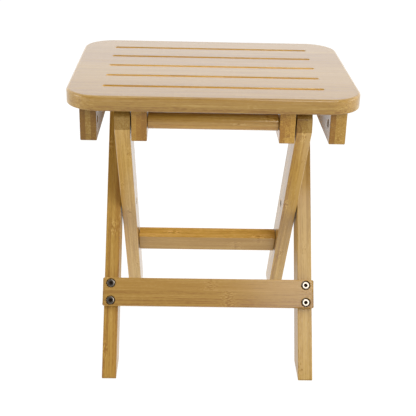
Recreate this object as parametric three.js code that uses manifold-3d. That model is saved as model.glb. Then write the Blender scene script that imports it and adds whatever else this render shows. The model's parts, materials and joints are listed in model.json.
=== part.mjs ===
// Folding bamboo stool: a slotted seat board on two pairs of crossed legs.
// Millimetres. X runs across the stool, Y from front to back and Z up from the floor.
// The inner legs hang from a pivot under the seat's front edge. The outer legs are pinned to them
// at the crossing, and their notched tops carry a round latch bar under the seat's back edge.
import * as THREE from 'three';
import { mergeVertices } from 'three/addons/utils/BufferGeometryUtils.js';
import Module from 'manifold-3d';

const wasm = await Module();
wasm.setup();

// Driving dimensions
const GAP = 0.3;                 // between pieces that touch
const SEGMENTS = 24;             // round a full circle
const SMALL_SEGMENTS = 12;       // round a bolt, screw or bore
const SMALL = 5;                 // radius up to which a circle counts as small
const WELD = 1e-4;               // vertices closer than this are one

const SEAT_WIDTH = 324;
const SEAT_DEPTH = 261;
const SEAT_THICKNESS = 16.8;
const SEAT_TOP = 346.8;
const SEAT_CENTRE_Y = 9;
const SEAT_CORNER = 38;
const SEAT_EDGE = 2.5;           // rounding of the board's edges
const SEAT_EDGE_STEPS = 2;
const SLOT_COUNT = 5;
const SLOT_PITCH = 44.5;
const SLOT_WIDTH = 6;
const SLOT_LENGTH = 245;

const LEAN = THREE.MathUtils.degToRad(33.5);
const CROSS_Y = -0.6;
const CROSS_Z = 174.6;
const LEG_DEPTH = 37.6;
const LEG_THICKNESS = 17.2;
const INNER_LEG_X = 91.1;        // inner face of an inner leg
const LEG_SPACING = 1.2;         // between an inner and an outer leg

const CLEAT_BOTTOM = 292.2;
const CLEAT_LENGTH = 236;
const INNER_CLEAT_X = 72.7;      // inner face of an inner cleat
const INNER_CLEAT_THICKNESS = 17.2;
const OUTER_CLEAT_X = 127.7;
const OUTER_CLEAT_THICKNESS = 18;
const CLEAT_CHAMFER = 1.5;

const PIVOT_DROP = 18.2;         // seat pivot below the board's underside
const PIVOT_OFFSET = 1.4;        // seat pivot in front of the inner leg's centre line
const LEG_TOP_RADIUS = 17.9;
const LEG_FACET = THREE.MathUtils.degToRad(122);   // where the top's front facet ends, from the back
const DOWEL_RADIUS = 9.2;
const BAR_RADIUS = 8;
const BAR_Z = 308;
const BAR_SEATING = 9;           // depth of the bar's blind holes in the outer cleats
const NOTCH_CLEARANCE = 0.4;
const NOTCH_MOUTH = 11;          // half width of the flared mouth

const BACK_RAIL = { height: 32.6, thickness: 15, below: 91.3 };
const FRONT_RAIL = { height: 34, thickness: 11, below: 116.9, halfLength: 127.7 };
const RAIL_BOLT_PITCH = 20.8;

const CLEAT_SCREWS = [-55, 55];  // each screw's place along a cleat, from its middle
const SCREW = { head: 3.8, headHeight: 3.2, shank: 1.9, recess: 16, rise: 9 };   // rise: bite in the board
const SCREW_RIM = 0.8;           // straight rim of a countersunk head
const SCREW_TIP = 3;             // length of a screw's point

const BORE = 3.3;                // clearance hole for a 6 mm bolt
const SHANK = 3;
const HEAD_INSET = 0.4;          // heads sit this far below the surface
const HEAD_CHAMFER = 0.8;
const SOCKET = { radius: 0.45, depth: 0.6 };   // hex socket, as shares of the head's radius and height
const TIP = { inset: 0.4, length: 0.6 };       // chamfer at a bolt's end
const BOLT_END = 1;              // a crossing bolt stops this far inside its nut's face
const ACCESS_RADIUS = 4.5;       // hole through an outer cleat for the pivot bolt's key
const DOWEL_BITE = 30;           // pivot bolt inside the dowel's end
const PIVOT_HEAD = { radius: 6, height: 4 };
const CROSS_HEAD = { radius: 5.5, height: 3.5 };
const CROSS_NUT = { radius: 4.5, height: 5 };
const RAIL_HEAD = { radius: 4.8, height: 3.4, length: 22, clearance: 0.8 };
const INSERT = { radius: 4.5, length: 13, holeDepth: 16 };
const WASHER_RADIUS = 8;
const RAIL_SCREW = { head: 3.8, headHeight: 3.2, shank: 2, recess: 5, bite: 35 };

// Derived positions
const UNDERSIDE = SEAT_TOP - SEAT_THICKNESS;
const HALF_LEG = LEG_DEPTH / 2;
const INNER_LEG_MID = INNER_LEG_X + LEG_THICKNESS / 2;
const INNER_LEG_OUTSIDE = INNER_LEG_X + LEG_THICKNESS;
const OUTER_LEG_X = INNER_LEG_OUTSIDE + LEG_SPACING;
const OUTER_LEG_MID = OUTER_LEG_X + LEG_THICKNESS / 2;
const OUTER_LEG_OUTSIDE = OUTER_LEG_X + LEG_THICKNESS;
const CLEAT_HEIGHT = UNDERSIDE - GAP - CLEAT_BOTTOM;
const INNER_CLEAT_MID = INNER_CLEAT_X + INNER_CLEAT_THICKNESS / 2;
const OUTER_CLEAT_MID = OUTER_CLEAT_X + OUTER_CLEAT_THICKNESS / 2;
const SCREW_PLACES = [-OUTER_CLEAT_MID, -INNER_CLEAT_MID, INNER_CLEAT_MID, OUTER_CLEAT_MID]
  .flatMap(x => CLEAT_SCREWS.map(y => [x, y]));
const RAIL_BOLT_PLACES = [-1, 1].map(end => -FRONT_RAIL.below + end * RAIL_BOLT_PITCH / 2);
const RAIL_SCREW_PLACES = [-1, 1].map(end => -BACK_RAIL.below + end * BACK_RAIL.height / 4);
const PIVOT_Z = UNDERSIDE - PIVOT_DROP;
const PIVOT_ALONG = (PIVOT_Z - CROSS_Z + PIVOT_OFFSET * Math.sin(LEAN)) / Math.cos(LEAN);
const PIVOT_Y = CROSS_Y - PIVOT_OFFSET * Math.cos(LEAN) - PIVOT_ALONG * Math.sin(LEAN);
const BAR_ALONG = (BAR_Z - CROSS_Z) / Math.cos(LEAN);
const BAR_Y = CROSS_Y + BAR_ALONG * Math.sin(LEAN);

// Materials
function finish(name, color, roughness, metalness = 0) {
  return new THREE.MeshStandardMaterial({ name, color, roughness, metalness });
}
const bamboo = (name, colour) => finish(name, colour, 0.4);
const steel = () => finish('steel', 0x55565a, 0.3, 1);
const nylon = () => finish('nylon', 0x1c1c1d, 0.6);

// Solids
function solidOf(geometry) {
  const bare = geometry.clone();
  bare.deleteAttribute('normal');
  bare.deleteAttribute('uv');
  const merged = mergeVertices(bare, WELD);
  return new wasm.Manifold(new wasm.Mesh({
    numProp: 3,
    vertProperties: new Float32Array(merged.attributes.position.array),
    triVerts: new Uint32Array(merged.index.array),
  }));
}

function geometryOf(solid) {
  const mesh = solid.getMesh();
  const geometry = new THREE.BufferGeometry();
  geometry.setAttribute('position', new THREE.BufferAttribute(mesh.vertProperties, 3));
  geometry.setIndex(new THREE.BufferAttribute(mesh.triVerts, 1));
  geometry.computeVertexNormals();
  return geometry;
}

const segmentsOf = radius => (radius < SMALL ? SMALL_SEGMENTS : SEGMENTS);
const box = (x, y, z) => solidOf(new THREE.BoxGeometry(x, y, z));

// Outline drawn in the Y-Z plane and extruded along X, centred on x = 0.
function acrossPlate(shape, thickness) {
  const geometry = new THREE.ExtrudeGeometry(shape, {
    depth: thickness, bevelEnabled: false, curveSegments: SEGMENTS / 3,
  });
  geometry.translate(0, 0, -thickness / 2);
  const axes = new THREE.Matrix4().makeBasis(
    new THREE.Vector3(0, 1, 0), new THREE.Vector3(0, 0, 1), new THREE.Vector3(1, 0, 0));
  return solidOf(geometry.applyMatrix4(axes));
}

// Round bar along X from x0 to x1.
function rodX(radius, x0, x1, y = 0, z = 0) {
  const geometry = new THREE.CylinderGeometry(radius, radius, Math.abs(x1 - x0), segmentsOf(radius));
  geometry.rotateZ(Math.PI / 2);
  geometry.translate((x0 + x1) / 2, y, z);
  return solidOf(geometry);
}

// Round bar along Y from y0 to y1.
function rodY(radius, y0, y1, x = 0, z = 0) {
  const geometry = new THREE.CylinderGeometry(radius, radius, Math.abs(y1 - y0), segmentsOf(radius));
  geometry.translate(x, (y0 + y1) / 2, z);
  return solidOf(geometry);
}

// Upright round bar centred on z = 0.
function upright(radius, height, x, y) {
  const geometry = new THREE.CylinderGeometry(radius, radius, height, SMALL_SEGMENTS);
  geometry.rotateX(Math.PI / 2);
  geometry.translate(x, y, 0);
  return solidOf(geometry);
}

// Turned piece: a closed profile of [radius, along] points about the Z axis.
function turned(profile) {
  const points = profile.map(([radius, along]) => new THREE.Vector2(radius, along));
  return new THREE.LatheGeometry(points, SMALL_SEGMENTS).rotateX(Math.PI / 2);
}

// A socket-head bolt along -Z, its head's top face at z = 0.
function boltGeometry(headRadius, headHeight, length) {
  const body = solidOf(turned([
    [0, -length], [SHANK - TIP.inset, -length], [SHANK, TIP.length - length], [SHANK, -headHeight],
    [headRadius, -headHeight], [headRadius, -HEAD_CHAMFER], [headRadius - HEAD_CHAMFER, 0], [0, 0],
  ]));
  const socketRadius = headRadius * SOCKET.radius;
  const socket = new THREE.CylinderGeometry(socketRadius, socketRadius, 2 * headHeight * SOCKET.depth, 6);
  socket.rotateX(Math.PI / 2);
  return geometryOf(body.subtract(solidOf(socket)));
}

function ring(outer, inner, height) {
  return turned([[inner, 0], [outer, 0], [outer, height], [inner, height], [inner, 0]]);
}

// Scene
const stool = new THREE.Group();
const seatFrame = new THREE.Group();
const innerFrame = new THREE.Group();
const outerFrame = new THREE.Group();
innerFrame.position.set(0, CROSS_Y, CROSS_Z);
innerFrame.rotation.x = LEAN;
outerFrame.position.set(0, CROSS_Y, CROSS_Z);
outerFrame.rotation.x = -LEAN;
stool.add(seatFrame, innerFrame, outerFrame);

function place(group, name, geometry, material, position = [0, 0, 0], rotation = [0, 0, 0]) {
  const mesh = new THREE.Mesh(geometry, material);
  mesh.name = name;
  mesh.position.set(...position);
  mesh.rotation.set(...rotation);
  group.add(mesh);
}

const SIDES = [['left', -1], ['right', 1]];
const ALONG_X = side => [0, side * Math.PI / 2, 0];   // turns +Z to point outwards at that side

// Seat board with rounded corners and through slots
function seatBoard() {
  const w = SEAT_WIDTH / 2 - SEAT_EDGE;
  const d = SEAT_DEPTH / 2 - SEAT_EDGE;
  const r = SEAT_CORNER - SEAT_EDGE;
  const shape = new THREE.Shape();
  shape.absarc(w - r, d - r, r, 0, Math.PI / 2);
  shape.absarc(r - w, d - r, r, Math.PI / 2, Math.PI);
  shape.absarc(r - w, r - d, r, Math.PI, Math.PI * 1.5);
  shape.absarc(w - r, r - d, r, Math.PI * 1.5, Math.PI * 2);
  const geometry = new THREE.ExtrudeGeometry(shape, {
    depth: SEAT_THICKNESS - 2 * SEAT_EDGE, curveSegments: SEGMENTS / 4,
    bevelThickness: SEAT_EDGE, bevelSize: SEAT_EDGE, bevelSegments: SEAT_EDGE_STEPS,
  });
  let board = solidOf(geometry);
  const end = SLOT_LENGTH / 2 - SLOT_WIDTH / 2;
  for (let i = 0; i < SLOT_COUNT; i++) {
    const y = (i - (SLOT_COUNT - 1) / 2) * SLOT_PITCH;
    const slot = new THREE.Shape();
    slot.absarc(end, y, SLOT_WIDTH / 2, -Math.PI / 2, Math.PI / 2);
    slot.absarc(-end, y, SLOT_WIDTH / 2, Math.PI / 2, Math.PI * 1.5);
    const cutter = new THREE.ExtrudeGeometry(slot, {
      depth: 3 * SEAT_THICKNESS, bevelEnabled: false, curveSegments: SMALL_SEGMENTS / 2,
    });
    cutter.translate(0, 0, -SEAT_THICKNESS);
    board = board.subtract(solidOf(cutter));
  }
  const depth = SCREW.rise + GAP;
  for (const [x, y] of SCREW_PLACES) {
    const pilot = upright(SCREW.shank + GAP, 2 * depth, x, y);
    board = board.subtract(pilot.translate([0, 0, -SEAT_EDGE]));
  }
  return geometryOf(board);
}
place(seatFrame, 'seat_board', seatBoard(), bamboo('bamboo_seat', 0xc49a5c),
  [0, SEAT_CENTRE_Y, UNDERSIDE + SEAT_EDGE]);

// Cleats under the board. The legs swing in the channel between an inner and an outer cleat.
function cleat(thickness, bores) {
  const height = CLEAT_HEIGHT;
  const c = CLEAT_CHAMFER;
  const half = CLEAT_LENGTH / 2;
  const side = new THREE.Shape([
    [-half, height], [-half, c], [c - half, 0], [half - c, 0], [half, c], [half, height],
  ].map(p => new THREE.Vector2(...p)));
  let solid = acrossPlate(side, thickness);
  for (const [radius, x0, x1, y, z] of bores) {
    solid = solid.subtract(rodX(radius, x0, x1, y - SEAT_CENTRE_Y, z - CLEAT_BOTTOM));
  }
  return solid;
}

function withScrewHoles(solid) {
  for (const y of CLEAT_SCREWS) {
    solid = solid
      .subtract(upright(SCREW.head + GAP, 2 * (SCREW.recess + SCREW.headHeight + GAP), 0, y))
      .subtract(upright(SCREW.shank + GAP, 3 * CLEAT_HEIGHT, 0, y));
  }
  return solid;
}

function cleatScrew() {
  const { head, headHeight, shank, rise, recess } = SCREW;
  const length = UNDERSIDE + rise - CLEAT_BOTTOM - recess;
  return turned([
    [0, 0], [head, 0], [head, SCREW_RIM],
    [shank, headHeight], [shank, length - SCREW_TIP], [0, length],
  ]);
}

for (const [name, side] of SIDES) {
  const reach = INNER_CLEAT_THICKNESS;
  const inner = cleat(INNER_CLEAT_THICKNESS, [
    [BORE, -reach, reach, PIVOT_Y, PIVOT_Z],
    [BAR_RADIUS + GAP, -reach, reach, BAR_Y, BAR_Z],
  ]);
  const blindEnd = side * (BAR_SEATING + GAP - OUTER_CLEAT_THICKNESS / 2);
  const outer = cleat(OUTER_CLEAT_THICKNESS, [
    [ACCESS_RADIUS, -OUTER_CLEAT_THICKNESS, OUTER_CLEAT_THICKNESS, PIVOT_Y, PIVOT_Z],
    [BAR_RADIUS + GAP, -side * OUTER_CLEAT_THICKNESS, blindEnd, BAR_Y, BAR_Z],
  ]);
  const innerX = side * INNER_CLEAT_MID;
  const outerX = side * OUTER_CLEAT_MID;
  place(seatFrame, `inner_cleat_${name}`, geometryOf(withScrewHoles(inner)),
    bamboo('bamboo_cleat', 0x9c713b), [innerX, SEAT_CENTRE_Y, CLEAT_BOTTOM]);
  place(seatFrame, `outer_cleat_${name}`, geometryOf(withScrewHoles(outer)),
    bamboo('bamboo_cleat', 0x9c713b), [outerX, SEAT_CENTRE_Y, CLEAT_BOTTOM]);
  for (const [row, x] of [['inner', innerX], ['outer', outerX]]) {
    CLEAT_SCREWS.forEach((y, i) => {
      place(seatFrame, `${row}_cleat_screw_${name}_${i ? 'rear' : 'front'}`,
        cleatScrew(), steel(), [x, SEAT_CENTRE_Y + y, CLEAT_BOTTOM + SCREW.recess]);
    });
  }
}

// Front dowel between the inner cleats, and the latch bar that the outer legs carry
const dowelEnd = INNER_CLEAT_X - GAP;
const dowelBoreEnd = dowelEnd - DOWEL_BITE - GAP;
const dowel = rodX(DOWEL_RADIUS, -dowelEnd, dowelEnd)
  .subtract(rodX(BORE, dowelBoreEnd, SEAT_WIDTH))
  .subtract(rodX(BORE, -SEAT_WIDTH, -dowelBoreEnd));
place(seatFrame, 'front_dowel', geometryOf(dowel), bamboo('bamboo_dowel', 0xb58545), [0, PIVOT_Y, PIVOT_Z]);

const barEnd = OUTER_CLEAT_X + BAR_SEATING;
place(seatFrame, 'latch_bar', geometryOf(rodX(BAR_RADIUS, -barEnd, barEnd)),
  bamboo('bamboo_dowel', 0xb58545), [0, BAR_Y, BAR_Z]);

// Seat pivots: each bolt passes an inner leg, a washer and an inner cleat into the dowel's end
const pivotLength = INNER_LEG_OUTSIDE - HEAD_INSET - dowelEnd + DOWEL_BITE;
for (const [name, side] of SIDES) {
  const headTop = side * (INNER_LEG_OUTSIDE - HEAD_INSET);
  const pivotBolt = boltGeometry(PIVOT_HEAD.radius, PIVOT_HEAD.height, pivotLength);
  place(seatFrame, `seat_pivot_bolt_${name}`, pivotBolt, steel(),
    [headTop, PIVOT_Y, PIVOT_Z], ALONG_X(side));
  const washerX = INNER_CLEAT_X + INNER_CLEAT_THICKNESS + GAP;
  const washerThickness = INNER_LEG_X - washerX - GAP;
  place(seatFrame, `seat_pivot_washer_${name}`, ring(WASHER_RADIUS, BORE, washerThickness),
    nylon(), [side * washerX, PIVOT_Y, PIVOT_Z], ALONG_X(side));
}

// Legs, drawn with the crossing at the origin and Z along the leg. `turn` is the frame's own turn
// about X, which the level foot depends on.
function legFoot(y, turn) {
  return (-CROSS_Z - y * Math.sin(turn)) / Math.cos(turn);
}

function innerLegOutline() {
  const shape = new THREE.Shape();
  const r = LEG_TOP_RADIUS;
  const step = HALF_LEG + PIVOT_OFFSET - r;      // the back arc sits this far behind the pivot
  const creaseAngle = Math.acos((PIVOT_OFFSET - HALF_LEG) / r);
  shape.moveTo(-HALF_LEG, legFoot(-HALF_LEG, LEAN));
  shape.lineTo(HALF_LEG, legFoot(HALF_LEG, LEAN));
  shape.absarc(step - PIVOT_OFFSET, PIVOT_ALONG - step, r, 0, Math.PI / 4);
  shape.absarc(-PIVOT_OFFSET, PIVOT_ALONG, r, Math.PI / 4, LEG_FACET);
  shape.lineTo(-HALF_LEG, PIVOT_ALONG + r * Math.sin(creaseAngle));
  return shape;
}

function outerLegOutline() {
  const shape = new THREE.Shape();
  const hornAngle = Math.acos(NOTCH_MOUTH / HALF_LEG);
  shape.moveTo(-HALF_LEG, legFoot(-HALF_LEG, -LEAN));
  shape.lineTo(HALF_LEG, legFoot(HALF_LEG, -LEAN));
  shape.absarc(0, BAR_ALONG, HALF_LEG, 0, hornAngle);
  shape.absarc(0, BAR_ALONG, BAR_RADIUS + NOTCH_CLEARANCE, 0, -Math.PI, true);
  shape.absarc(0, BAR_ALONG, HALF_LEG, Math.PI - hornAngle, Math.PI);
  return shape;
}

// Hole with a counterbore in one side of a leg, along X. `face` is the X of that side.
function counterbored(solid, face, headRadius, depth, y, z) {
  const inward = -Math.sign(face);
  return solid
    .subtract(rodX(BORE, -LEG_THICKNESS, LEG_THICKNESS, y, z))
    .subtract(rodX(headRadius, face - inward, face + inward * depth, y, z));
}

for (const [name, side] of SIDES) {
  const outside = side * LEG_THICKNESS / 2;
  let inner = acrossPlate(innerLegOutline(), LEG_THICKNESS);
  inner = counterbored(inner, outside, PIVOT_HEAD.radius + GAP, HEAD_INSET + PIVOT_HEAD.height + GAP,
    -PIVOT_OFFSET, PIVOT_ALONG);
  inner = counterbored(inner, -outside, CROSS_NUT.radius + GAP, HEAD_INSET + CROSS_NUT.height + GAP, 0, 0);
  for (const z of RAIL_SCREW_PLACES) {
    inner = counterbored(inner, outside, RAIL_SCREW.head + GAP,
      RAIL_SCREW.recess + RAIL_SCREW.headHeight + GAP, 0, z);
  }
  place(innerFrame, `inner_leg_${name}`, geometryOf(inner), bamboo('bamboo_leg', 0xc2934f),
    [side * INNER_LEG_MID, 0, 0]);

  let outer = acrossPlate(outerLegOutline(), LEG_THICKNESS);
  outer = counterbored(outer, outside, CROSS_HEAD.radius + GAP, HEAD_INSET + CROSS_HEAD.height + GAP, 0, 0);
  for (const z of RAIL_BOLT_PLACES) {
    outer = outer.subtract(rodY(INSERT.radius + GAP, -LEG_DEPTH, INSERT.holeDepth - HALF_LEG, 0, z));
  }
  place(outerFrame, `outer_leg_${name}`, geometryOf(outer), bamboo('bamboo_leg', 0xb98845),
    [side * OUTER_LEG_MID, 0, 0]);
}

// Back rail between the inner legs, with two long screws into each end
const backRailHalf = INNER_LEG_X - GAP;
let backRail = box(2 * backRailHalf, BACK_RAIL.thickness, BACK_RAIL.height);
for (const z of RAIL_SCREW_PLACES) {
  for (const side of [-1, 1]) {
    const inner = side * (backRailHalf - RAIL_SCREW.bite - GAP);
    const pilot = rodX(RAIL_SCREW.shank + GAP, inner, side * SEAT_WIDTH, 0, z + BACK_RAIL.below);
    backRail = backRail.subtract(pilot);
  }
}
place(innerFrame, 'back_rail', geometryOf(backRail), bamboo('bamboo_rail', 0xb98845),
  [0, 0, -BACK_RAIL.below]);

function railScrew() {
  const { head, headHeight, shank, recess, bite } = RAIL_SCREW;
  const length = LEG_THICKNESS + GAP - recess + bite;
  return turned([
    [0, -length], [shank, SCREW_TIP - length], [shank, -headHeight],
    [head, -SCREW_RIM], [head, 0], [0, 0],
  ]);
}
for (const [name, side] of SIDES) {
  RAIL_SCREW_PLACES.forEach((z, i) => {
    place(innerFrame, `back_rail_screw_${name}_${i ? 'upper' : 'lower'}`,
      railScrew(), steel(), [side * (INNER_LEG_OUTSIDE - RAIL_SCREW.recess), 0, z], ALONG_X(side));
  });
}

// Front rail on the outer legs' front faces, with two bolts into threaded inserts at each end
const railFront = -HALF_LEG - GAP - FRONT_RAIL.thickness;
const railMiddle = railFront + FRONT_RAIL.thickness / 2;
let frontRail = box(2 * FRONT_RAIL.halfLength, FRONT_RAIL.thickness, FRONT_RAIL.height);
for (const side of [-1, 1]) {
  for (const along of RAIL_BOLT_PLACES) {
    const x = side * OUTER_LEG_MID;
    const z = along + FRONT_RAIL.below;
    const pocket = RAIL_HEAD.height + HEAD_INSET + GAP - FRONT_RAIL.thickness / 2;
    frontRail = frontRail
      .subtract(rodY(BORE, -LEG_DEPTH, LEG_DEPTH, x, z))
      .subtract(rodY(RAIL_HEAD.radius + RAIL_HEAD.clearance, -LEG_DEPTH, pocket, x, z));
  }
}
place(outerFrame, 'front_rail', geometryOf(frontRail), bamboo('bamboo_rail', 0xb98845),
  [0, railMiddle, -FRONT_RAIL.below]);

const railBolt = boltGeometry(RAIL_HEAD.radius, RAIL_HEAD.height, RAIL_HEAD.length);
for (const [name, side] of SIDES) {
  RAIL_BOLT_PLACES.forEach((z, i) => {
    const row = i ? 'upper' : 'lower';
    const x = side * OUTER_LEG_MID;
    place(outerFrame, `front_rail_bolt_${name}_${row}`, railBolt, steel(),
      [x, railFront + HEAD_INSET, z], [Math.PI / 2, 0, 0]);
    place(outerFrame, `threaded_insert_${name}_${row}`, ring(INSERT.radius, BORE, INSERT.length),
      steel(), [x, -HALF_LEG + GAP, z], [-Math.PI / 2, 0, 0]);
  });
}

// Crossing pivots: a bolt from the outer leg's outer face into a nut in the inner leg's inner face
const nutInside = INNER_LEG_X + HEAD_INSET;
const crossHeadTop = OUTER_LEG_OUTSIDE - HEAD_INSET;
const crossLength = crossHeadTop - nutInside - BOLT_END;
for (const [name, side] of SIDES) {
  place(outerFrame, `cross_bolt_${name}`, boltGeometry(CROSS_HEAD.radius, CROSS_HEAD.height, crossLength),
    steel(), [side * crossHeadTop, 0, 0], ALONG_X(side));
  place(outerFrame, `cross_nut_${name}`, ring(CROSS_NUT.radius, BORE, CROSS_NUT.height),
    steel(), [side * nutInside, 0, 0], ALONG_X(side));
  place(outerFrame, `cross_washer_${name}`, ring(WASHER_RADIUS, BORE, LEG_SPACING - 2 * GAP),
    nylon(), [side * (INNER_LEG_OUTSIDE + GAP), 0, 0], ALONG_X(side));
}

export default stool;
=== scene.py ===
"""Folding bamboo stool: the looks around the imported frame.

The frame is in metres, with X across the stool, Y from front to back and Z up from the floor. Each piece is
built in millimetres, in the place that it belongs to: the seat, the inner legs or the outer legs. A pair of
legs has its origin at the crossing, and Z along the legs.
"""
import json
import math

import bmesh
import bpy
from mathutils import Matrix, Vector


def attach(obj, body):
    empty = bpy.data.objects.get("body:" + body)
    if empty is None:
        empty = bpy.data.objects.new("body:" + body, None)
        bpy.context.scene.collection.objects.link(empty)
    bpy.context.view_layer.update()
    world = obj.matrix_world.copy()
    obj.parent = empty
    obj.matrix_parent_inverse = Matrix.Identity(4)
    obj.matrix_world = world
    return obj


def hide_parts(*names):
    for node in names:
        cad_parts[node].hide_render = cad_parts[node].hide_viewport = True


MM = 0.001
SIDES = {"left": -1, "right": 1}
ROWS = ("inner", "outer")
ENDS = ("lower", "upper")

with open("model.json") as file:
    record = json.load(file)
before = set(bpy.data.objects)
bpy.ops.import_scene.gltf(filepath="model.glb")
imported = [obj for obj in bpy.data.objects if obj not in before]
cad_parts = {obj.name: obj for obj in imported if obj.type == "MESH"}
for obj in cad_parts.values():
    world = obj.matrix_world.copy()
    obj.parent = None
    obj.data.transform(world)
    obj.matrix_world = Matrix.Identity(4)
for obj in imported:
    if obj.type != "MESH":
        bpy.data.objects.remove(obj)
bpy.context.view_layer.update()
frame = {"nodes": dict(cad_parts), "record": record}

# Camera, in metres, radians and millimetres
CAMERA_AT = (-0.0276, -1.0325, 0.6197)
YAW, PITCH, ROLL = 0.02587, 0.41396, 0.02558
LENS, SENSOR = 76.9, 36

# Studio. A softbox has an azimuth and elevation in degrees, a distance and size in metres, and a power.
WORLD_FRONT, WORLD_BACK = 0.3, 1.56
WORLD_TURN = (-0.6, 0.5)         # the Y of the directions between which the surroundings brighten
SOFTBOXES = {
    "key": (24, 39, 1.6, 0.75, 10.2),
    "top": (0, 67, 1.5, 0.5, 2.5),
    "low": (20, 16, 1.7, 0.9, 1.3),
    "left": (-75, 8, 1.5, 0.7, 5.0),
    "right": (82, 12, 1.3, 0.7, 3.5),
}
FLOOR_REACH, FLOOR_GLOW = 12.0, 0.96

# Boards, in millimetres
ROUND_STEPS = 5
SEAT_CORNER, SEAT_CORNER_STEPS = 38, 16
SEAT_TOP_ROUND, SEAT_LOWER_ROUND = 3.0, 1.6
SLOTS, SLOT_PITCH, SLOT_WIDTH, SLOT_LENGTH, SLOT_ROUND = 5, 44.5, 6, 245, 0.8
SLOT_END_STEPS = 14
EDGE_ROUND = 0.9                 # the long edges of cleats, legs and rails
CORNER_ROUND, CORNER_STEPS = 1.9, 5     # the feet's corners and the front rail's ends
BACK_RAIL_END_ROUND = 0.6
ROD_END_ROUND = 0.8
CLEAT_CHAMFER, CLEAT_CORNER_ROUND = 1.5, 0.5
LEG_FACET = math.radians(122)    # where an inner leg's round top turns into the facet down to its front face
LEG_SHOULDER_STEPS, LEG_TOP_STEPS = 8, 14
NOTCH_CLEARANCE, NOTCH_MOUTH = 0.4, 11
NOTCH_STEPS, HORN_STEPS = 20, 10
BORE_ROUND = 0.5
BORE_FACETS, ROD_FACETS, SCREW_FACETS, PILOT_FACETS = 40, 64, 32, 16
OVERSHOOT = 1.0                  # how far a cutter sticks out of what it cuts
SHARP_ANGLE = math.radians(32)

# Bamboo, in millimetres
PLIES, PLY = 3, 5.5
STRIP = 21.5
STAGGER = 0.39                   # how far each ply's strips lie off the last ply's, in strips
KNUCKLE_SPACING = 255
STRIP_STRETCH = 400              # the strips of a board are cut up to this far apart along the cane
BOARD_STEP, BOARD_SIDESTEP = 613, 7.3    # how far on, along and across, the next board is cut
BOARD_SHIFTS = {"front_rail": 70}        # moves a board's knuckles along it
STRIP_SEED = 3.7

# Hardware, in millimetres
GAP = 0.3
BORE = 3.3
SHANK = 3.0
HEAD_INSET = 0.4
HEAD_HEIGHTS = {"seat_pivot": 4, "cross": 3.5, "front_rail": 3.4}
HEAD_FLAT, HEAD_CROWN = 0.74, 0.24       # shares of a bolt head's radius and height
SOCKET = 0.45                    # a bolt's hexagon socket, as a share of its head's radius
COUNTERBORE_CLEARANCE = {"seat_pivot": 0.3, "cross": 0.3, "front_rail": 0.8}
ACCESS_RADIUS = 4.5
SCREW_SHANK, SCREW_RIM, SCREW_HEAD_HEIGHT, SCREW_TIP = 1.9, 0.8, 3.2, 3.0
CROSS_BLADE, CROSS_DEPTH = 0.55, 2.2     # half the width, and the depth, of a screw's cross recess
BOLT_PLAIN, SCREW_PLAIN = 0.35, 0.25     # shares of the length below the head that have no thread
RAIL_SCREW_RECESS = 5
THREAD_PITCH, THREAD_DEPTH = 1.0, 0.35
RING_ROUNDS = {"seat_pivot_washer": 0.15, "cross_washer": 0.1, "cross_nut": 0.4, "threaded_insert": 0.3}


def millimetres(vector):
    return Vector(vector) / MM


JOINTS = {joint["name"]: millimetres(joint["pos_m"]) for joint in frame["record"]["behaviour"]["joints"]}
PIVOT = JOINTS["seat_pivot"]
CROSS = JOINTS["cross_pivot"]


def cad_box(node, place):
    """Lowest and highest corners of a CAD node in the given place, in millimetres."""
    inverse = place.inverted()
    points = [inverse @ millimetres(v.co) for v in frame["nodes"][node].data.vertices]
    low = Vector([min(p[i] for p in points) for i in range(3)])
    high = Vector([max(p[i] for p in points) for i in range(3)])
    return low, high


def centre(node, place):
    low, high = cad_box(node, place)
    return (low + high) / 2


def end_x(low, high, sign):
    """X of the end of a box that points to a side."""
    return high.x if sign > 0 else low.x


SEAT = Matrix.Identity(4)
BAR_LOW, BAR_HIGH = cad_box("latch_bar", SEAT)
BAR = (BAR_LOW + BAR_HIGH) / 2
BAR_RADIUS = (BAR_HIGH.z - BAR_LOW.z) / 2
LEAN = math.atan2(BAR.y - CROSS.y, BAR.z - CROSS.z)
INNER = Matrix.Translation(CROSS) @ Matrix.Rotation(LEAN, 4, "X")
OUTER = Matrix.Translation(CROSS) @ Matrix.Rotation(-LEAN, 4, "X")
BODY_OF = {node: body for body, nodes in frame["record"]["behaviour"]["bodies"].items() for node in nodes}
SLOT_OF = {part["node"]: part["material_slot"] for part in frame["record"]["subparts"]}


# Outlines: closed lists of 2-D points, counterclockwise, in millimetres

def arc(centre, radius, start, end, steps):
    angles = [start + (end - start) * i / steps for i in range(steps + 1)]
    return [Vector((centre[0] + radius * math.cos(a), centre[1] + radius * math.sin(a))) for a in angles]


def rounded(corners, radius, steps=ROUND_STEPS):
    """The outline through the corners, each rounded off."""
    points = []
    for i, corner in enumerate(corners):
        here = Vector(corner)
        before = (Vector(corners[i - 1]) - here).normalized()
        after = (Vector(corners[(i + 1) % len(corners)]) - here).normalized()
        half = before.angle(after) / 2
        centre = here + (before + after).normalized() * radius / math.sin(half)
        first = here + before * radius / math.tan(half) - centre
        turn = math.pi - 2 * half
        start = math.atan2(first.y, first.x)
        points += arc(centre, radius, start, start + turn, steps)
    return points


def rectangle(low, high, radius, steps=ROUND_STEPS):
    corners = [(low[0], low[1]), (high[0], low[1]), (high[0], high[1]), (low[0], high[1])]
    return rounded(corners, radius, steps)


def grown(points, distance):
    """The outline moved outwards by a distance."""
    least = 0.3                  # keeps a sharp corner from moving far off
    result = []
    for i, here in enumerate(points):
        before = (here - points[i - 1]).normalized()
        after = (points[(i + 1) % len(points)] - here).normalized()
        normal = Vector((before.y + after.y, -before.x - after.x)).normalized()
        result.append(here + normal * distance / max(normal.dot(Vector((before.y, -before.x))), least))
    return result


# Solids: meshes in millimetres

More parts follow.
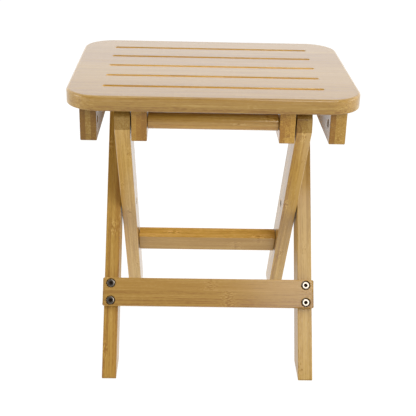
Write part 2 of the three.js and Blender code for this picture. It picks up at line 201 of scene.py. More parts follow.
def loops_mesh(loops):
    """Closed mesh through equally long loops of 3-D points, capped at both ends."""
    bm = bmesh.new()
    rows = [[bm.verts.new(p) for p in loop] for loop in loops]
    count = len(rows[0])
    for a, b in zip(rows, rows[1:]):
        for i in range(count):
            j = (i + 1) % count
            bm.faces.new((a[i], a[j], b[j], b[i]))
    bm.faces.new(rows[0][::-1])
    bm.faces.new(rows[-1])
    bmesh.ops.recalc_face_normals(bm, faces=bm.faces)
    mesh = bpy.data.meshes.new("solid")
    bm.to_mesh(mesh)
    bm.free()
    return mesh


def quarter(radius):
    """(inset, rise) pairs of a rounded rim, from the flat face to the wall."""
    angles = [math.pi / 2 * i / ROUND_STEPS for i in range(ROUND_STEPS + 1)]
    return [(radius * (1 - math.sin(a)), radius * (1 - math.cos(a))) for a in angles]


def plate(outline, low, high, low_round, high_round, axis="Z"):
    """The outline extruded from low to high along an axis, with rounded rims.

    The outline of an X plate is in Y and Z.
    """
    stations = [(-inset, low + rise) for inset, rise in quarter(low_round)]
    stations += [(-inset, high - rise) for inset, rise in reversed(quarter(high_round))]
    spread = {"Z": lambda p, h: (p.x, p.y, h), "X": lambda p, h: (h, p.x, p.y)}[axis]
    return loops_mesh([[spread(p, height) for p in grown(outline, grow)] for grow, height in stations])


def plate_across(outline, low, high, rim=EDGE_ROUND):
    """An X plate between the side faces of a box."""
    return plate(outline, low.x, high.x, rim, rim, "X")


def turned(profile, segments):
    """Mesh turned about Z from (radius, height) pairs, with flat ends."""
    circle = [2 * math.pi * i / segments for i in range(segments)]
    return loops_mesh([[(r * math.cos(a), r * math.sin(a), h) for a in circle] for r, h in profile])


def bore(radius, depth, counter=None, through=False):
    """Cutter for a hole that runs down from a face at z = 0, with softened rims.

    counter is the radius and depth of a counterbore.
    """
    first = counter[0] if counter else radius
    profile = [(first + BORE_ROUND, OVERSHOOT)]
    profile += [(first + inset, -rise) for inset, rise in quarter(BORE_ROUND)]
    if counter:
        profile += [(first, -counter[1]), (radius, -counter[1])]
    if through:
        profile += [(radius + inset, rise - depth) for inset, rise in reversed(quarter(BORE_ROUND))]
        profile.append((radius + BORE_ROUND, -depth - OVERSHOOT))
    else:
        profile.append((radius, -depth))
    return turned(profile, BORE_FACETS)


def facing(direction, at):
    """Matrix that takes +Z to a direction and the origin to a point."""
    return Matrix.Translation(at) @ Vector(direction).to_track_quat("Z", "Y").to_matrix().to_4x4()


def moved(mesh, matrix):
    mesh.transform(matrix)
    return mesh


def joined(meshes):
    bm = bmesh.new()
    for mesh in meshes:
        bm.from_mesh(mesh)
    whole = bpy.data.meshes.new("joined")
    bm.to_mesh(whole)
    bm.free()
    return whole


def cut(mesh, cutters):
    """The mesh less the cutters, which don't overlap each other."""
    if not cutters:
        return mesh
    body = bpy.data.objects.new("body", mesh)
    tool = bpy.data.objects.new("tool", joined(cutters))
    for o in (body, tool):
        bpy.context.scene.collection.objects.link(o)
    boolean = body.modifiers.new("cut", "BOOLEAN")
    boolean.object = tool
    boolean.operation = "DIFFERENCE"
    boolean.solver = "EXACT"
    graph = bpy.context.evaluated_depsgraph_get()
    result = bpy.data.meshes.new_from_object(body.evaluated_get(graph))
    bpy.data.objects.remove(body)
    bpy.data.objects.remove(tool)
    return result


def piece(node, mesh, place, material, grain=None):
    """Shows a mesh, given in a place's millimetres, instead of a CAD node.

    grain names the place's axes that run along the fibres, across the strips and through the plies.
    """
    mesh.name = node + "_fine"
    if grain:
        add_grain(mesh, node, place, grain)
    mesh.transform(Matrix.Scale(MM, 4) @ place)
    for polygon in mesh.polygons:
        polygon.use_smooth = True
    mesh.set_sharp_from_angle(angle=SHARP_ANGLE)
    mesh.materials.clear()
    mesh.materials.append(material)
    o = bpy.data.objects.new(node + "_fine", mesh)
    bpy.context.scene.collection.objects.link(o)
    weighted = o.modifiers.new("normals", "WEIGHTED_NORMAL")
    weighted.keep_sharp = True
    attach(o, BODY_OF[node])
    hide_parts(node)
    return o


def add_grain(mesh, node, place, grain):
    """Stores where each point lies in its board, which faces are end grain, and how light the board is.

    The place is in millimetres along the fibres and across the strips, and in plies through the board. Each
    board is cut from another stretch of bamboo.
    """
    low, high = cad_box(node, place)
    along, across, through = ("XYZ".index(letter) for letter in grain)
    number = sorted(SLOT_OF).index(node)
    start = BOARD_STEP * number + BOARD_SHIFTS.get(node, 0)
    aside = BOARD_SIDESTEP * number
    values = []
    for vertex in mesh.vertices:
        co = vertex.co
        ply = (co[through] - low[through]) / (high[through] - low[through]) * PLIES
        values += [co[along] + start, co[across] - low[across] + aside, ply + PLIES * number]
    mesh.attributes.new("grain", "FLOAT_VECTOR", "POINT").data.foreach_set("vector", values)
    # Slanted cuts, such as the legs' top facets under the seat, count wholly as end grain and so also get
    # painted shade
    gain = 1.7                   # a face is wholly end grain before it is square to the fibres
    ends = [min(1.0, gain * abs(polygon.normal[along])) for polygon in mesh.polygons]
    mesh.attributes.new("end_grain", "FLOAT", "FACE").data.foreach_set("value", ends)
    tones = [BOARD_TONES[node]] * len(mesh.polygons)
    mesh.attributes.new("tone", "FLOAT", "FACE").data.foreach_set("value", tones)


# Materials

class Nodes:
    """Adds shader nodes to a material and returns their sockets."""

    def __init__(self, name):
        self.material = bpy.data.materials.new(name)
        self.material.use_nodes = True
        self.tree = self.material.node_tree
        self.shader = self.tree.nodes["Principled BSDF"]

    def add(self, kind, **settings):
        node = self.tree.nodes.new(kind)
        for key, value in settings.items():
            setattr(node, key, value)
        return node

    def plug(self, socket, value):
        if isinstance(value, bpy.types.NodeSocket):
            self.tree.links.new(value, socket)
        else:
            socket.default_value = value

    def math(self, operation, *values):
        node = self.add("ShaderNodeMath", operation=operation)
        for socket, value in zip(node.inputs, values):
            self.plug(socket, value)
        return node.outputs[0]

    def vector(self, x, y, z=0.0):
        node = self.add("ShaderNodeCombineXYZ")
        for socket, value in zip(node.inputs, (x, y, z)):
            self.plug(socket, value)
        return node.outputs[0]

    def split(self, vector):
        node = self.add("ShaderNodeSeparateXYZ")
        self.plug(node.inputs[0], vector)
        return node.outputs

    def scale(self, vector, factor):
        node = self.add("ShaderNodeVectorMath", operation="SCALE")
        self.plug(node.inputs[0], vector)
        self.plug(node.inputs["Scale"], factor)
        return node.outputs[0]

    def noise(self, vector, detail):
        node = self.add("ShaderNodeTexNoise")
        self.plug(node.inputs["Vector"], vector)
        node.inputs["Scale"].default_value = 1.0
        node.inputs["Detail"].default_value = detail
        return node.outputs["Fac"]

    def specks(self, density, detail):
        """Even noise all through a piece, with about this many specks to the metre."""
        place = self.add("ShaderNodeTexCoord").outputs["Object"]
        return self.noise(self.scale(place, density), detail)

    def attribute(self, name, output="Fac"):
        return self.add("ShaderNodeAttribute", attribute_name=name).outputs[output]

    def random(self, vector):
        node = self.add("ShaderNodeTexWhiteNoise", noise_dimensions="3D")
        self.plug(node.inputs["Vector"], vector)
        return self.split(node.outputs["Color"])

    def between(self, value, low, high, to_low=0.0, to_high=1.0):
        """The value mapped smoothly from low..high to another range."""
        node = self.add("ShaderNodeMapRange", interpolation_type="SMOOTHSTEP")
        for socket, setting in zip(node.inputs, (value, low, high, to_low, to_high)):
            self.plug(socket, setting)
        return node.outputs[0]

    def centred(self, value):
        return self.math("SUBTRACT", value, 0.5)

    def blend(self, factor, a, b):
        node = self.add("ShaderNodeMix", data_type="RGBA")
        self.plug(node.inputs["Factor"], factor)
        self.plug(node.inputs["A"], a)
        self.plug(node.inputs["B"], b)
        return node.outputs["Result"]

    def bump(self, height, distance):
        node = self.add("ShaderNodeBump")
        node.inputs["Distance"].default_value = distance
        self.plug(node.inputs["Height"], height)
        self.plug(self.shader.inputs["Normal"], node.outputs[0])

    def set(self, **values):
        for name, value in values.items():
            self.shader.inputs[name.replace("_", " ")].default_value = value


PALE = (0.53, 0.335, 0.095, 1)
HONEY = (0.41, 0.234, 0.044, 1)
DEEP = (0.275, 0.129, 0.021, 1)
AMBER = (0.39, 0.197, 0.031, 1)
GLUE = (0.20, 0.105, 0.035, 1)
# Painted shade in the bolts' hexagon sockets
SOCKET_PAINTED_SHADE = (0.09, 0.062, 0.04, 1)
# How light each board is against the palette
BOARD_TONES = {
    "seat_board": 0.78,
    "inner_cleat_left": 1.32, "inner_cleat_right": 1.5,
    "outer_cleat_left": 0.88, "outer_cleat_right": 1.27,
    "inner_leg_left": 1.02, "inner_leg_right": 1.05,
    "outer_leg_left": 1.04, "outer_leg_right": 0.9,
    "front_rail": 1.06, "back_rail": 1.12,
    "front_dowel": 1.06, "latch_bar": 1.1,
}
SLOT_PAINTED_LIGHT = 1.8                  # painted light on the cut walls of the seat's slots, against its faces
RAIL_TOP_PAINTED_LIGHT = 1.35            # painted light on the upper edge of the back rail, against its faces
FOOT_END_GRAIN = 0.1             # how much the end grain of a foot shows, against other ends


def bamboo(name, shade=0.0, strip_width=STRIP, variety=0.34, knuckles=1.0, coat=0.8, coat_roughness=0.17,
           end_shade=-0.13, end_darkening=0.3, end_dullness=0.6):
    """Lacquered laminated bamboo. The pattern follows the grain attribute that each board's mesh carries."""
    n = Nodes(name)
    end = n.attribute("end_grain")
    along, across, through = n.split(n.attribute("grain", "Vector"))
    depth = n.math("MULTIPLY", through, PLY)
    ply = n.math("FLOOR", through)
    places = n.math("MULTIPLY_ADD", ply, STAGGER, n.math("DIVIDE", across, strip_width))
    strip = n.math("FLOOR", places)
    tint, shift, hue = n.random(n.vector(strip, ply, STRIP_SEED))
    start = n.math("MULTIPLY_ADD", shift, STRIP_STRETCH, along)

    def drawn(length, width, detail):
        """Noise drawn out along the grain, with its length and width in millimetres."""
        return n.noise(n.vector(n.math("DIVIDE", start, length), n.math("DIVIDE", across, width),
                                n.math("DIVIDE", depth, width)), detail)

    bands = drawn(160.0, 7.0, 1.0)
    streaks = drawn(90.0, 1.7, 2.0)
    fibres = drawn(36.0, 0.8, 2.0)
    flecks = drawn(5.5, 1.5, 1.0)
    dashes = drawn(3.6, 1.0, 1.0)

    # Knuckles of the cane: a dark broken line and short dashes in a paler collar
    ripple, sway = 2.4, 9.0
    wobble = n.noise(n.vector(n.math("DIVIDE", across, ripple), n.math("DIVIDE", depth, ripple), strip), 1.0)
    turns = n.math("ADD", n.math("DIVIDE", along, KNUCKLE_SPACING), shift)
    straight = n.math("MULTIPLY", n.centred(n.math("FRACT", turns)), KNUCKLE_SPACING)
    distance = n.math("ABSOLUTE", n.math("MULTIPLY_ADD", n.centred(wobble), sway, straight))
    line = n.math("MULTIPLY", n.between(distance, 0.4, 3.4, 1.0, 0.0), n.between(streaks, 0.36, 0.6))
    collar = n.between(distance, 2.0, 15.0, 1.0, 0.0)
    spots = n.math("MULTIPLY", n.math("SUBTRACT", dashes, 0.52), collar)

    # How light each spot is, from 0 for deep to 1 for pale: each part counts with its weight
    light = 0.5 + shade
    for part, weight in ((n.centred(tint), variety),
                         (n.centred(bands), 0.7),
                         (n.centred(streaks), 1.15),
                         (n.between(fibres, 0.54, 0.7), -0.36),
                         (n.centred(flecks), 0.5),
                         (collar, 0.06),
                         (spots, -3.2 * knuckles),
                         (line, -0.55 * knuckles),
                         (end, end_shade)):
        light = n.math("MULTIPLY_ADD", part, weight, light)
    colour = n.blend(n.between(light, 0.0, 0.5), DEEP, HONEY)
    colour = n.blend(n.between(light, 0.5, 1.0), colour, PALE)
    colour = n.blend(n.between(hue, 0.35, 1.0, 0.0, 0.3), colour, AMBER)

    # Bundles of fibres seen end on
    bundle = 1.2
    section = n.vector(n.math("DIVIDE", across, bundle), n.math("DIVIDE", depth, bundle))
    cells = n.add("ShaderNodeTexVoronoi", feature="F1")
    n.plug(cells.inputs["Vector"], section)
    cells.inputs["Scale"].default_value = 1.0
    dots = n.math("MULTIPLY", n.between(cells.outputs["Distance"], 0.12, 0.42, 0.6, 0.0), end)
    colour = n.blend(dots, colour, DEEP)

    # Glue joints between the strips and between the plies
    strip_seam = n.between(n.math("PINGPONG", places, 0.5), 0.0, 0.018, 1.0, 0.0)
    ply_seam = n.between(n.math("PINGPONG", through, 0.5), 0.0, 0.05, 1.0, 0.0)
    seams = n.math("MAXIMUM", strip_seam, ply_seam)
    colour = n.blend(n.math("MULTIPLY", seams, 0.3), colour, GLUE)

    tone = n.math("MULTIPLY", n.attribute("tone"), n.math("MULTIPLY_ADD", end, -end_darkening, 1.0))
    n.plug(n.shader.inputs["Base Color"], n.scale(colour, tone))
    n.plug(n.shader.inputs["Roughness"], n.between(streaks, 0.3, 0.7, 0.40, 0.52))
    n.plug(n.shader.inputs["Coat Weight"], n.math("MULTIPLY_ADD", end, -coat * end_dullness, coat))
    n.set(Coat_Roughness=coat_roughness, Coat_IOR=1.5, IOR=1.5, Specular_IOR_Level=0.15)
    n.bump(n.math("MULTIPLY_ADD", seams, -0.8, n.math("ADD", fibres, streaks)), 0.00004)
    return n.material


def steel(name, light, dark):
    """Plated steel, faintly pitted, and rougher in its recesses, where painted shade darkens it."""
    n = Nodes(name)
    grains = n.specks(900.0, 3.0)
    # The socket's faces get painted shade
    recess = n.attribute("recess")
    polish = n.between(grains, 0.3, 0.7, 0.09, 0.17)
    n.plug(n.shader.inputs["Base Color"], n.blend(recess, n.blend(grains, light, dark), SOCKET_PAINTED_SHADE))
    n.plug(n.shader.inputs["Roughness"], n.math("MAXIMUM", polish, n.math("MULTIPLY", recess, 0.5)))
    n.bump(grains, 0.00001)
    n.set(Metallic=1.0)
    return n.material


def nylon():
    """Black moulded nylon with a fine matt skin."""
    n = Nodes("nylon")
    grains = n.specks(1500.0, 2.0)
    n.plug(n.shader.inputs["Base Color"], n.blend(grains, (0.012, 0.012, 0.013, 1), (0.03, 0.03, 0.031, 1)))
    n.plug(n.shader.inputs["Roughness"], n.between(grains, 0.3, 0.7, 0.42, 0.6))
    n.bump(grains, 0.00002)
    return n.material


# The seat's end grain, on its left and right sides, is painted paler than its faces: painted sheen
SEAT_WOOD = bamboo("bamboo_seat", knuckles=0.2, coat_roughness=0.1,
                   end_shade=0.25, end_darkening=-0.08, end_dullness=0.0)
CLEAT_WOOD = bamboo("bamboo_cleat", -0.04, strip_width=90, variety=0.75)
# Paler shades: partly the legs' own colour, partly painted sheen; end darkening: partly painted shade under
# the seat
LEG_WOODS = {node: bamboo("bamboo_" + node, shade, variety=variety, coat=coat, end_darkening=0.36)
             for node, shade, variety, coat in (("inner_leg_left", 0.16, 0.7, 0.8),
                                                ("inner_leg_right", 0.16, 0.7, 0.62),
                                                ("outer_leg_left", 0.02, 0.6, 0.5),
                                                ("outer_leg_right", 0.16, 0.7, 0.35))}
RAIL_WOOD = bamboo("bamboo_rail", coat=0.5)
PALE_RAIL_WOOD = bamboo("bamboo_rail_pale", 0.2, coat=0.4)
ROD_WOOD = bamboo("bamboo_dowel", -0.02)
STEEL = steel("steel", (0.27, 0.235, 0.195, 1), (0.21, 0.18, 0.145, 1))
DARK_STEEL = steel("dark_steel", (0.075, 0.055, 0.04, 1), (0.05, 0.037, 0.027, 1))
NYLON = nylon()


# Seat

def screw_nodes(row, side):
    return [f"{row}_cleat_screw_{side}_{end}" for end in ("front", "rear")]


def slot_cutters(low, high):
    """Cutters for the slots through the seat, with softened rims."""
    middle = (low + high) / 2
    half = (SLOT_LENGTH - SLOT_WIDTH) / 2
    stations = [(SLOT_ROUND, low.z - OVERSHOOT)]
    stations += [(inset, low.z + rise) for inset, rise in quarter(SLOT_ROUND)]
    stations += [(inset, high.z - rise) for inset, rise in reversed(quarter(SLOT_ROUND))]
    stations += [(SLOT_ROUND, high.z + OVERSHOOT)]
    cutters = []
    for i in range(SLOTS):
        y = middle.y + (i - (SLOTS - 1) / 2) * SLOT_PITCH
        outline = arc((half, y), SLOT_WIDTH / 2, -math.pi / 2, math.pi / 2, SLOT_END_STEPS)
        outline += arc((-half, y), SLOT_WIDTH / 2, math.pi / 2, 1.5 * math.pi, SLOT_END_STEPS)
        cutters.append(loops_mesh([[(p.x, p.y, z) for p in grown(outline, grow)] for grow, z in stations]))
    return cutters


def pilot_cutters(bottom):
    """Cutters for the cleat screws' holes in the seat."""
    radius = SCREW_SHANK + GAP
    cutters = []
    for row in ROWS:
        for side in SIDES:
            for node in screw_nodes(row, side):
                at = centre(node, SEAT)
                top = cad_box(node, SEAT)[1].z
                pilot = turned([(radius, bottom - OVERSHOOT), (radius, top + GAP)], PILOT_FACETS)
                cutters.append(moved(pilot, Matrix.Translation((at.x, at.y, 0))))
    return cutters


def paint_slot_light(board):
    """Paints light on the slots' walls: they get the seat's end-grain look, which is painted paler, and a
    lighter tone.
    """
    middle = centre("seat_board", SEAT)
    reach = (SLOTS - 1) / 2 * SLOT_PITCH + SLOT_WIDTH
    tones = board.data.attributes["tone"].data
    ends = board.data.attributes["end_grain"].data
    for polygon in board.data.polygons:
        away = polygon.center / MM - middle
        upright = abs(polygon.normal.z) < 0.5
        if upright and abs(away.x) < SLOT_LENGTH / 2 + 1 and abs(away.y) < reach:
            # Painted light and sheen on the slot walls
            tones[polygon.index].value *= SLOT_PAINTED_LIGHT
            ends[polygon.index].value = 1.0


def seat_board():
    low, high = cad_box("seat_board", SEAT)
    outline = rectangle(low, high, SEAT_CORNER, SEAT_CORNER_STEPS)
    board = plate(outline, low.z, high.z, SEAT_LOWER_ROUND, SEAT_TOP_ROUND)
    cutters = slot_cutters(low, high) + pilot_cutters(low.z)
    paint_slot_light(piece("seat_board", cut(board, cutters), SEAT, SEAT_WOOD, "XYZ"))


def cleat(row, side):
    """Bar under the seat, with screw pockets, the pivot's bore or its key hole, and the latch bar's hole."""
    node = f"{row}_cleat_{side}"
    sign = SIDES[side]
    low, high = cad_box(node, SEAT)
    thickness = high.x - low.x
    outside, inside = end_x(low, high, sign), end_x(low, high, -sign)
    c = CLEAT_CHAMFER
    corners = [(low.y, low.z + c), (low.y + c, low.z), (high.y - c, low.z), (high.y, low.z + c)]
    corners += [(high.y, high.z), (low.y, high.z)]
    mesh = plate_across(rounded(corners, CLEAT_CORNER_ROUND, 3), low, high)
    if row == "inner":
        pivot_radius, bar_depth = BORE, thickness
    else:
        pivot_radius, bar_depth = ACCESS_RADIUS, abs(BAR_HIGH.x - abs(inside)) + GAP
    pivot_hole = bore(pivot_radius, thickness, through=True)
    bar_hole = bore(BAR_RADIUS + GAP, bar_depth, through=row == "inner")
    cutters = [moved(pivot_hole, facing((sign, 0, 0), (outside, PIVOT.y, PIVOT.z))),
               moved(bar_hole, facing((-sign, 0, 0), (inside, BAR.y, BAR.z)))]
    for fastener in screw_nodes(row, side):
        screw_low, screw_high = cad_box(fastener, SEAT)
        at = (screw_low + screw_high) / 2
        pocket = screw_low.z - low.z + SCREW_HEAD_HEIGHT + GAP
        head = (screw_high.x - screw_low.x) / 2
        hole = bore(SCREW_SHANK + GAP, high.z - low.z, (head + GAP, pocket), through=True)
        cutters.append(moved(hole, facing((0, 0, -1), (at.x, at.y, low.z))))
    piece(node, cut(mesh, cutters), SEAT, CLEAT_WOOD, "YZX")


def rod(node, bore_depth=0):
    """Turned rod along X with eased ends, and perhaps a hole in each of them."""
    low, high = cad_box(node, SEAT)
    middle = (low + high) / 2
    radius = (high.z - low.z) / 2
    profile = [(radius - inset, low.x + rise) for inset, rise in quarter(ROD_END_ROUND)]
    profile += [(radius - inset, high.x - rise) for inset, rise in reversed(quarter(ROD_END_ROUND))]
    turn = Matrix.Translation((0, middle.y, middle.z)) @ Matrix.Rotation(math.pi / 2, 4, "Y")
    mesh = moved(turned(profile, ROD_FACETS), turn)
    cutters = []
    if bore_depth:
        for sign in SIDES.values():
            end = (end_x(low, high, sign), middle.y, middle.z)
            cutters.append(moved(bore(BORE, bore_depth), facing((sign, 0, 0), end)))
    piece(node, cut(mesh, cutters), SEAT, ROD_WOOD, "XYZ")


def front_dowel():
    """The rod between the inner cleats, which the pivot bolts screw into."""
    bolt_tip = cad_box("seat_pivot_bolt_right", SEAT)[0].x
    dowel_end = cad_box("front_dowel", SEAT)[1].x
    rod("front_dowel", dowel_end - bolt_tip + GAP)


# Legs

def floor_at(y, turn):
    """Height along a leg where the floor meets it."""
    return (-CROSS.z - y * math.sin(turn)) / math.cos(turn)


def foot(half, turn):
    """The foot's two corners, rounded, from the front to the back."""
    corners = [(-half, 0), (-half, floor_at(-half, turn)), (half, floor_at(half, turn)), (half, 0)]
    count = CORNER_STEPS + 1
    return rounded(corners, CORNER_ROUND, CORNER_STEPS)[count:3 * count]


def inner_leg_outline(low, high):
    half = (high.y - low.y) / 2
    pivot = INNER.inverted() @ PIVOT
    radius = high.z - pivot.z
    step = half - pivot.y - radius
    crease = math.acos((-half - pivot.y) / radius)
    outline = foot(half, LEAN)
    outline += arc((step + pivot.y, pivot.z - step), radius, 0, math.pi / 4, LEG_SHOULDER_STEPS)
    outline += arc((pivot.y, pivot.z), radius, math.pi / 4, LEG_FACET, LEG_TOP_STEPS)
    outline.append(Vector((-half, pivot.z + radius * math.sin(crease))))
    return outline


def outer_leg_outline(low, high):
    """A leg with a round top, in which a notch between two horns holds the latch bar."""
    half = (high.y - low.y) / 2
    bar = OUTER.inverted() @ BAR
    horn = math.acos(NOTCH_MOUTH / half)
    notch = BAR_RADIUS + NOTCH_CLEARANCE
    outline = foot(half, -LEAN)
    outline += arc((0, bar.z), half, 0, horn, HORN_STEPS)
    outline += arc((0, bar.z), notch, 0, -math.pi, NOTCH_STEPS)
    outline += arc((0, bar.z), half, math.pi - horn, math.pi, HORN_STEPS)
    return outline


def lighten_foot_underside(leg):
    """Makes the end grain under a foot show less than other end grain, so that the foot's underside is
    lighter.
    """
    for value, polygon in zip(leg.data.attributes["end_grain"].data, leg.data.polygons):
        if polygon.normal.z < 0:
            value.value *= FOOT_END_GRAIN


def inner_leg(side):
    node = f"inner_leg_{side}"
    sign = SIDES[side]
    low, high = cad_box(node, INNER)
    outside, inside = end_x(low, high, sign), end_x(low, high, -sign)
    thickness = high.x - low.x
    pivot = INNER.inverted() @ PIVOT
    bolt_low, bolt_high = cad_box(f"seat_pivot_bolt_{side}", SEAT)
    head = (bolt_high.z - bolt_low.z) / 2
    recess = (head + COUNTERBORE_CLEARANCE["seat_pivot"], HEAD_INSET + HEAD_HEIGHTS["seat_pivot"] + GAP)
    cutters = [moved(bore(BORE, thickness, recess, True), facing((sign, 0, 0), (outside, pivot.y, pivot.z)))]
    nut_low, nut_high = cad_box(f"cross_nut_{side}", INNER)
    nut = ((nut_high.z - nut_low.z) / 2 + GAP, HEAD_INSET + nut_high.x - nut_low.x + GAP)
    cutters.append(moved(bore(BORE, thickness, nut, True), facing((-sign, 0, 0), (inside, 0, 0))))
    for end in ENDS:
        screw_low, screw_high = cad_box(f"back_rail_screw_{side}_{end}", INNER)
        at = (screw_low + screw_high) / 2
        pocket = ((screw_high.z - screw_low.z) / 2 + GAP, RAIL_SCREW_RECESS + SCREW_HEAD_HEIGHT + GAP)
        cutters.append(moved(bore(BORE, thickness, pocket, True), facing((sign, 0, 0), (outside, 0, at.z))))
    mesh = plate_across(inner_leg_outline(low, high), low, high)
    lighten_foot_underside(piece(node, cut(mesh, cutters), INNER, LEG_WOODS[node], "ZYX"))


def outer_leg(side):
    node = f"outer_leg_{side}"
    sign = SIDES[side]
    low, high = cad_box(node, OUTER)
    outside = end_x(low, high, sign)
    bolt_low, bolt_high = cad_box(f"cross_bolt_{side}", OUTER)
    head = (bolt_high.z - bolt_low.z) / 2
    recess = (head + COUNTERBORE_CLEARANCE["cross"], HEAD_INSET + HEAD_HEIGHTS["cross"] + GAP)
    cutters = [moved(bore(BORE, high.x - low.x, recess, True), facing((sign, 0, 0), (outside, 0, 0)))]
    for end in ENDS:
        insert_low, insert_high = cad_box(f"threaded_insert_{side}_{end}", OUTER)
        at = (insert_low + insert_high) / 2
        depth = insert_high.y - low.y + 10 * GAP
        hole = bore((insert_high.x - insert_low.x) / 2 + GAP, depth)
        cutters.append(moved(hole, facing((0, -1, 0), (at.x, low.y, at.z))))
    mesh = plate_across(outer_leg_outline(low, high), low, high)
    lighten_foot_underside(piece(node, cut(mesh, cutters), OUTER, LEG_WOODS[node], "ZYX"))


def back_rail():
    low, high = cad_box("back_rail", INNER)
    mesh = plate_across(rectangle(low.yz, high.yz, EDGE_ROUND), low, high, BACK_RAIL_END_ROUND)
    cutters = []
    for side, sign in SIDES.items():
        for end in ENDS:
            screw_low, screw_high = cad_box(f"back_rail_screw_{side}_{end}", INNER)
            at = (screw_low + screw_high) / 2
            face = end_x(low, high, sign)
            tip = end_x(screw_low, screw_high, -sign)
            hole = bore(SCREW_SHANK + GAP, abs(face - tip) + GAP)
            cutters.append(moved(hole, facing((sign, 0, 0), (face, at.y, at.z))))
    rail = piece("back_rail", cut(mesh, cutters), INNER, PALE_RAIL_WOOD, "XZY")
    up = INNER.to_3x3() @ Vector((0, 0, 1))
    # Painted light: the rail's upper edge is made lighter, as where light reaches under the seat
    for value, polygon in zip(rail.data.attributes["tone"].data, rail.data.polygons):
        if polygon.normal.dot(up) > 0.7:
            value.value *= RAIL_TOP_PAINTED_LIGHT


def front_rail():
    low, high = cad_box("front_rail", OUTER)
    mesh = plate_across(rectangle(low.yz, high.yz, EDGE_ROUND), low, high, CORNER_ROUND)
    cutters = []
    for side in SIDES:
        for end in ENDS:
            bolt_low, bolt_high = cad_box(f"front_rail_bolt_{side}_{end}", OUTER)
            at = (bolt_low + bolt_high) / 2
            head = (bolt_high.x - bolt_low.x) / 2
            depth = HEAD_INSET + HEAD_HEIGHTS["front_rail"] + GAP
            hole = bore(BORE, high.y - low.y, (head + COUNTERBORE_CLEARANCE["front_rail"], depth), True)
            cutters.append(moved(hole, facing((0, -1, 0), (at.x, low.y, at.z))))
    piece("front_rail", cut(mesh, cutters), OUTER, RAIL_WOOD, "XZY")


# Hardware

def thread(radius, start, end):
    """Profile of a threaded stretch, from the higher start down to the end."""
    rings = max(1, round((start - end) / THREAD_PITCH))
    profile = []
    for i in range(rings):
        top = start - i * THREAD_PITCH
        profile += [(radius, top), (radius - THREAD_DEPTH, top - THREAD_PITCH / 2)]
    profile.append((radius - THREAD_DEPTH, end))
    return profile


def socket_bolt(radius, height, length):
    """Bolt along -Z with a hexagon socket in its eased flat head."""
    flat = radius * HEAD_FLAT
    crown = height * HEAD_CROWN
    plain = height + (length - height) * BOLT_PLAIN
    profile = [(flat + (radius - flat) * math.sin(a), -crown * (1 - math.cos(a)))
               for a in (math.pi / 2 * i / 6 for i in range(7))]
    profile += [(radius, -height + 0.3), (radius - 0.3, -height), (SHANK, -height), (SHANK, -plain)]
    profile += thread(SHANK, -plain, 0.6 - length) + [(SHANK - 2 * THREAD_DEPTH, -length)]
    across = radius * SOCKET
    mouth = [(across + 0.5, 0.1), (across + 0.4, 0), (across, -0.4)]
    key = turned(mouth + [(across, -height * 0.5), (0.2, -height * 0.95)], 6)
    mesh = cut(turned(profile, BORE_FACETS), [key])
    # Faces inside the hexagon socket, which the steel darkens with painted shade
    inside = [float(-height < p.center.z < -0.05 and p.center.xy.length < across) for p in mesh.polygons]
    mesh.attributes.new("recess", "FLOAT", "FACE").data.foreach_set("value", inside)
    return mesh


def wood_screw(radius, length):
    """Countersunk wood screw along -Z with a cross recess."""
    head = SCREW_HEAD_HEIGHT
    plain = head + (length - head) * SCREW_PLAIN
    profile = [(radius - 0.15, 0), (radius, -0.15), (radius, -SCREW_RIM)]
    profile += [(SCREW_SHANK, -head), (SCREW_SHANK, -plain)]
    profile += thread(SCREW_SHANK, -plain, SCREW_TIP - length) + [(0.15, -length)]
    mesh = turned(profile, SCREW_FACETS)
    reach = radius * 0.62
    arms = [(-CROSS_BLADE, -reach), (CROSS_BLADE, -reach), (CROSS_BLADE, reach), (-CROSS_BLADE, reach)]
    wide = [(x, y, 0.3) for x, y in arms]
    narrow = [(x * 0.7, y * 0.45, -CROSS_DEPTH) for x, y in arms]
    for angle in (0, math.pi / 2):
        mesh = cut(mesh, [moved(loops_mesh([wide, narrow]), Matrix.Rotation(angle, 4, "Z"))])
    return mesh


def measures(node, place, direction):
    """Middle, radius and length of a round CAD node that lies along an axis."""
    low, high = cad_box(node, place)
    sizes = [high[i] - low[i] for i in range(3)]
    main = [abs(v) for v in direction].index(1)
    return (low + high) / 2, sizes[(main + 1) % 3] / 2, sizes[main]


def bolt(node, place, direction, height):
    middle, radius, length = measures(node, place, direction)
    top = middle + Vector(direction) * length / 2
    piece(node, moved(socket_bolt(radius, height, length), facing(direction, top)), place, STEEL)


def screw(node, place, direction):
    middle, radius, length = measures(node, place, direction)
    top = middle + Vector(direction) * length / 2
    piece(node, moved(wood_screw(radius, length), facing(direction, top)), place, STEEL)


def ring(kind, end, place, direction, material, threaded=False):
    """Washer, nut or sleeve: a turned ring with eased rims, and perhaps an outer thread."""
    node = f"{kind}_{end}"
    ease = RING_ROUNDS[kind]
    middle, radius, length = measures(node, place, direction)
    half = length / 2
    if threaded:
        profile = [(radius - ease, half), (radius, half - ease), (radius, half - 1)]
        profile += thread(radius, half - 1.2, 1 - half) + [(radius - THREAD_DEPTH - ease, -half)]
    else:
        profile = [(radius - inset, half - rise) for inset, rise in quarter(ease)]
        profile += [(radius - inset, rise - half) for inset, rise in reversed(quarter(ease))]
    hole = turned([(BORE, half + OVERSHOOT), (BORE, -half - OVERSHOOT)], BORE_FACETS)
    mesh = cut(turned(profile, BORE_FACETS), [hole])
    piece(node, moved(mesh, facing(direction, middle)), place, material)


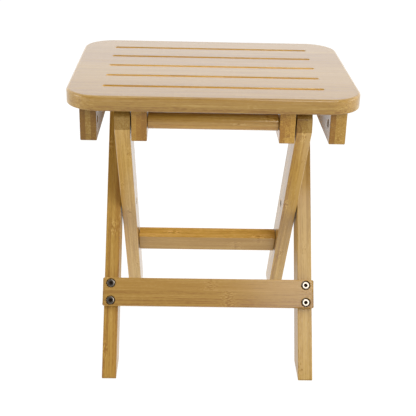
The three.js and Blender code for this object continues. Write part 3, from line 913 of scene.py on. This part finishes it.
seat_board()
for side, sign in SIDES.items():
    cleat("inner", side)
    cleat("outer", side)
    inner_leg(side)
    outer_leg(side)
    bolt(f"seat_pivot_bolt_{side}", SEAT, (sign, 0, 0), HEAD_HEIGHTS["seat_pivot"])
    bolt(f"cross_bolt_{side}", OUTER, (sign, 0, 0), HEAD_HEIGHTS["cross"])
    ring("seat_pivot_washer", side, SEAT, (1, 0, 0), NYLON)
    ring("cross_washer", side, OUTER, (1, 0, 0), NYLON)
    ring("cross_nut", side, OUTER, (1, 0, 0), DARK_STEEL)
    for row in ROWS:
        for node in screw_nodes(row, side):
            screw(node, SEAT, (0, 0, -1))
    for end in ENDS:
        screw(f"back_rail_screw_{side}_{end}", INNER, (sign, 0, 0))
        bolt(f"front_rail_bolt_{side}_{end}", OUTER, (0, -1, 0), HEAD_HEIGHTS["front_rail"])
        ring("threaded_insert", f"{side}_{end}", OUTER, (0, 1, 0), STEEL, threaded=True)
front_dowel()
rod("latch_bar")
back_rail()
front_rail()


# Stage

def floor():
    mesh = bpy.data.meshes.new("floor")
    reach = FLOOR_REACH
    corners = [(-reach, -reach, 0), (reach, -reach, 0), (reach, reach, 0), (-reach, reach, 0)]
    mesh.from_pydata(corners, [], [(0, 1, 2, 3)])
    n = Nodes("floor")
    n.set(Base_Color=(0.1, 0.1, 0.1, 1), Roughness=0.9, Specular_IOR_Level=0,
          Emission_Color=(1, 1, 1, 1), Emission_Strength=FLOOR_GLOW)
    mesh.materials.append(n.material)
    o = bpy.data.objects.new("floor", mesh)
    bpy.context.scene.collection.objects.link(o)


def softbox(name, azimuth, elevation, distance, size, power):
    """Square soft light aimed at the middle of the stool. Azimuth 0 is in front and grows to the right."""
    aim = Vector((0, 0, CROSS.z * MM))
    a, e = math.radians(azimuth), math.radians(elevation)
    away = Vector((math.sin(a) * math.cos(e), -math.cos(a) * math.cos(e), math.sin(e)))
    light = bpy.data.lights.new(name, "AREA")
    light.size = size
    light.energy = power
    o = bpy.data.objects.new(name, light)
    o.matrix_world = facing(away, aim + away * distance)
    o.visible_camera = False
    bpy.context.scene.collection.objects.link(o)


def studio():
    """White surroundings, brightest behind the stool and dim in front, where the softboxes light it."""
    world = bpy.data.worlds.new("studio")
    bpy.context.scene.world = world
    world.use_nodes = True
    tree = world.node_tree
    nodes, links = tree.nodes, tree.links
    background = nodes["Background"]
    direction = nodes.new("ShaderNodeTexCoord").outputs["Generated"]
    split = nodes.new("ShaderNodeSeparateXYZ")
    links.new(direction, split.inputs[0])
    ramp = nodes.new("ShaderNodeMapRange")
    ramp.interpolation_type = "SMOOTHSTEP"
    for socket, value in zip(list(ramp.inputs)[1:5], (*WORLD_TURN, WORLD_FRONT, WORLD_BACK)):
        socket.default_value = value
    links.new(split.outputs["Y"], ramp.inputs[0])
    seen = nodes.new("ShaderNodeLightPath").outputs["Is Camera Ray"]
    mix = nodes.new("ShaderNodeMix")
    mix.inputs["B"].default_value = 1.0
    links.new(seen, mix.inputs["Factor"])
    links.new(ramp.outputs[0], mix.inputs["A"])
    links.new(mix.outputs["Result"], background.inputs["Strength"])
    background.inputs["Color"].default_value = (1, 1, 1, 1)


def camera():
    data = bpy.data.cameras.new("camera")
    data.sensor_width = SENSOR
    data.sensor_fit = "HORIZONTAL"
    data.lens = LENS
    o = bpy.data.objects.new("camera", data)
    heading = Matrix.Rotation(-YAW, 4, "Z") @ Matrix.Rotation(math.pi / 2 - PITCH, 4, "X")
    o.matrix_world = Matrix.Translation(CAMERA_AT) @ heading @ Matrix.Rotation(ROLL, 4, "Z")
    bpy.context.scene.collection.objects.link(o)
    bpy.context.scene.camera = o


floor()
studio()
for name, settings in SOFTBOXES.items():
    softbox(name, *settings)
camera()
bpy.context.scene.view_settings.view_transform = "Standard"
